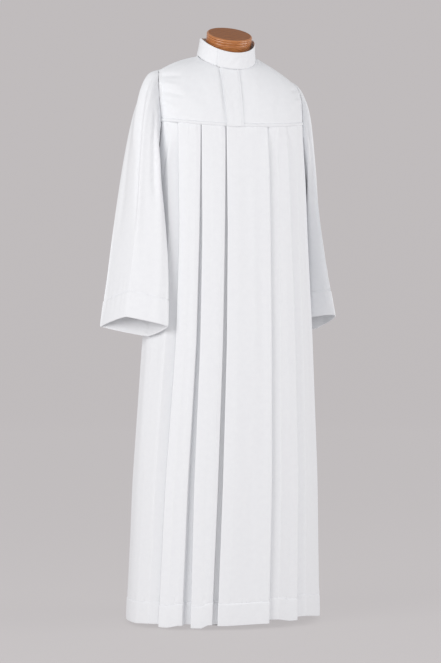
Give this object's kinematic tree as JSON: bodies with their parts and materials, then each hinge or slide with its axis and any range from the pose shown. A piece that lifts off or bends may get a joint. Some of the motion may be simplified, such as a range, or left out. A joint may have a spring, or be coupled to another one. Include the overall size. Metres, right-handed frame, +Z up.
{
  "type": "pleated alb robe on a limbless dress form",
  "caption": "White floor-length alb with stand collar, covered front closing, flat yoke, hanging knife pleats and open sleeves, worn by a limbless dress form on a round foot.",
  "frame": {"origin": "middle of the round foot's flat underside, on the floor", "axes": "+Z up along the pole, -Y towards the front of the robe, +X towards the wearer's left"},
  "size_m": [0.6227, 0.3939, 1.4833],
  "materials": {
    "cloth": "matte white polyester-cotton plain weave",
    "form_cover": "natural linen stretched over the form",
    "wood_cap": "turned hardwood, warm brown, glossy varnish",
    "stand_metal": "black painted steel tube and iron foot"
  },
  "bodies": {
    "root": {"collar": "cloth", "front_yoke_right": "cloth", "front_yoke_left": "cloth", "fly_strip": "cloth", "back_yoke": "cloth", "front_skirt_right": "cloth", "front_skirt_left": "cloth", "back_skirt": "cloth", "sleeve_right": "cloth", "sleeve_left": "cloth", "form_torso": "form_cover", "neck_cap": "wood_cap", "pole": "stand_metal", "foot": "stand_metal"}
  },
  "joints": []
}
